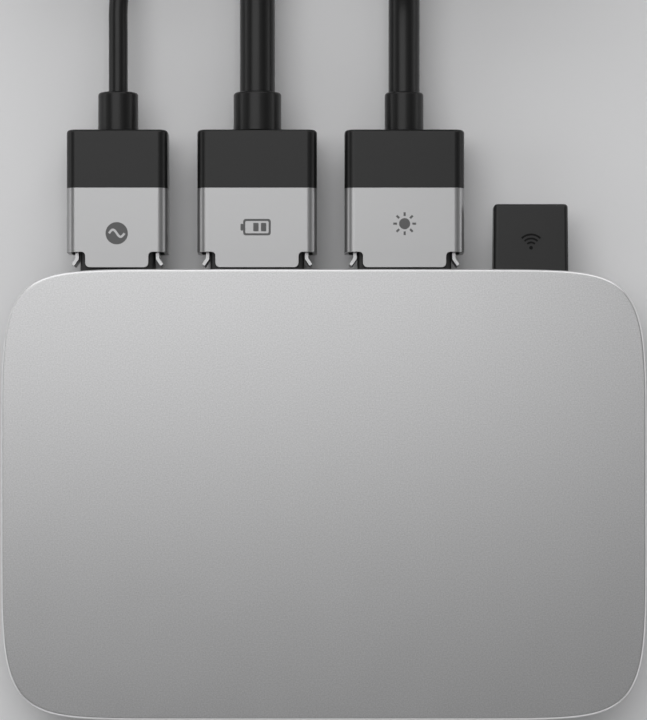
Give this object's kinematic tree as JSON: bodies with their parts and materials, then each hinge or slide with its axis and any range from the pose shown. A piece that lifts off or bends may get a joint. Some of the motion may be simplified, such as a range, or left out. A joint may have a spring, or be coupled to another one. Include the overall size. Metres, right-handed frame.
{
  "type": "solar micro-inverter",
  "caption": "Flat solar micro-inverter with a finned rear housing, latching plug-in leads for mains, battery and panels, coiled cords and an antenna block.",
  "frame": {"origin": "centre of the four-hole bolt pattern, in the plane of the rear bosses", "axes": "lying on its back: +X to the right seen from the front, +Y towards the port edge, +Z out of the front face"},
  "size_m": [0.273, 0.5275, 0.0723],
  "materials": {
    "cover_aluminium": "bead-blasted and clear anodised, fine even grain",
    "housing_aluminium": "die-cast, dark grey powder coat",
    "seal_rubber": "matt black",
    "screw_steel": "plain zinc-plated",
    "board_green": "solder mask",
    "ferrite": "sintered, matt",
    "copper_wire": "lacquered copper windings",
    "capacitor_can": "dark sleeve on a can",
    "film_box": "moulded box",
    "chip_black": "moulded, matt",
    "thermal_pad": "soft silicone",
    "socket_black": "fine moulded grain",
    "antenna_black": "fine moulded grain",
    "plug_silver": "smooth silver-grey, satin",
    "plug_black": "fine moulded grain",
    "insert_grey": "moulded, matt",
    "contact_gold": "gold-plated",
    "latch_steel": "bright spring strip",
    "cord_black": "satin sheath",
    "pin_nickel": "nickel-plated"
  },
  "bodies": {
    "inverter": {"front_cover": "cover_aluminium", "cover_gasket": "seal_rubber", "rear_housing": "housing_aluminium", "cover_screws": "screw_steel", "main_board": "board_green", "transformer_cores": "ferrite", "transformer_windings": "copper_wire", "filter_chokes": "copper_wire", "bulk_capacitors": "capacitor_can", "film_capacitors": "film_box", "power_transistors": "chip_black", "thermal_pads": "thermal_pad", "grid_relays": "chip_black", "control_board": "board_green", "inner_screws": "screw_steel", "ac_socket": "socket_black", "battery_socket": "socket_black", "solar_socket": "socket_black", "socket_pins": "contact_gold", "port_seals": "seal_rubber", "antenna_cover": "antenna_black", "antenna_board": "board_green"},
    "ac_lead": {"ac_plug_shell": "plug_silver", "ac_plug_cap": "plug_black", "ac_plug_insert": "insert_grey", "ac_plug_contacts": "contact_gold", "ac_latch_pins": "screw_steel", "ac_strain_relief": "plug_black", "ac_cord": "cord_black", "ac_coil": "cord_black", "ac_wall_plug": "plug_black", "ac_wall_pins": "pin_nickel"},
    "battery_lead": {"battery_plug_shell": "plug_silver", "battery_plug_cap": "plug_black", "battery_plug_insert": "insert_grey", "battery_plug_contacts": "contact_gold", "battery_latch_pins": "screw_steel", "battery_strain_relief": "plug_black", "battery_cord": "cord_black", "battery_coil": "cord_black", "battery_connector": "plug_black", "battery_terminals": "contact_gold"},
    "solar_lead": {"solar_plug_shell": "plug_silver", "solar_plug_cap": "plug_black", "solar_plug_insert": "insert_grey", "solar_plug_contacts": "contact_gold", "solar_latch_pins": "screw_steel", "solar_strain_relief": "plug_black", "solar_cord": "cord_black", "solar_coil": "cord_black", "solar_splitter": "plug_black", "solar_leads": "cord_black", "pv_connectors": "plug_black"},
    "ac_left_arm": {"ac_latch_left": "latch_steel"},
    "ac_right_arm": {"ac_latch_right": "latch_steel"},
    "battery_left_arm": {"battery_latch_left": "latch_steel"},
    "battery_right_arm": {"battery_latch_right": "latch_steel"},
    "solar_left_arm": {"solar_latch_left": "latch_steel"},
    "solar_right_arm": {"solar_latch_right": "latch_steel"}
  },
  "joints": [
    {"name": "ac_plug_slide", "type": "slide", "parent": "inverter", "child": "ac_lead", "axis": [0, 1, 0], "range_m": [0, 0.018]},
    {"name": "ac_left_latch", "type": "hinge", "parent": "ac_lead", "child": "ac_left_arm", "pos_m": [-0.0932, 0.107, 0.0165], "axis": [0, 0, -1], "range_deg": [0, 5], "stiffness_Nm_per_rad": 0.5, "springref_deg": -1.72},
    {"name": "ac_right_latch", "type": "hinge", "parent": "ac_lead", "child": "ac_right_arm", "pos_m": [-0.0628, 0.107, 0.0165], "axis": [0, 0, 1], "range_deg": [0, 5], "stiffness_Nm_per_rad": 0.5, "springref_deg": -1.72},
    {"name": "battery_plug_slide", "type": "slide", "parent": "inverter", "child": "battery_lead", "axis": [0, 1, 0], "range_m": [0, 0.018]},
    {"name": "battery_left_latch", "type": "hinge", "parent": "battery_lead", "child": "battery_left_arm", "pos_m": [-0.0439, 0.107, 0.0165], "axis": [0, 0, -1], "range_deg": [0, 5], "stiffness_Nm_per_rad": 0.5, "springref_deg": -1.72},
    {"name": "battery_right_latch", "type": "hinge", "parent": "battery_lead", "child": "battery_right_arm", "pos_m": [-0.0065, 0.107, 0.0165], "axis": [0, 0, 1], "range_deg": [0, 5], "stiffness_Nm_per_rad": 0.5, "springref_deg": -1.72},
    {"name": "solar_plug_slide", "type": "slide", "parent": "inverter", "child": "solar_lead", "axis": [0, 1, 0], "range_m": [0, 0.018]},
    {"name": "solar_left_latch", "type": "hinge", "parent": "solar_lead", "child": "solar_left_arm", "pos_m": [0.0117, 0.107, 0.0165], "axis": [0, 0, -1], "range_deg": [0, 5], "stiffness_Nm_per_rad": 0.5, "springref_deg": -1.72},
    {"name": "solar_right_latch", "type": "hinge", "parent": "solar_lead", "child": "solar_right_arm", "pos_m": [0.0491, 0.107, 0.0165], "axis": [0, 0, 1], "range_deg": [0, 5], "stiffness_Nm_per_rad": 0.5, "springref_deg": -1.72}
  ]
}
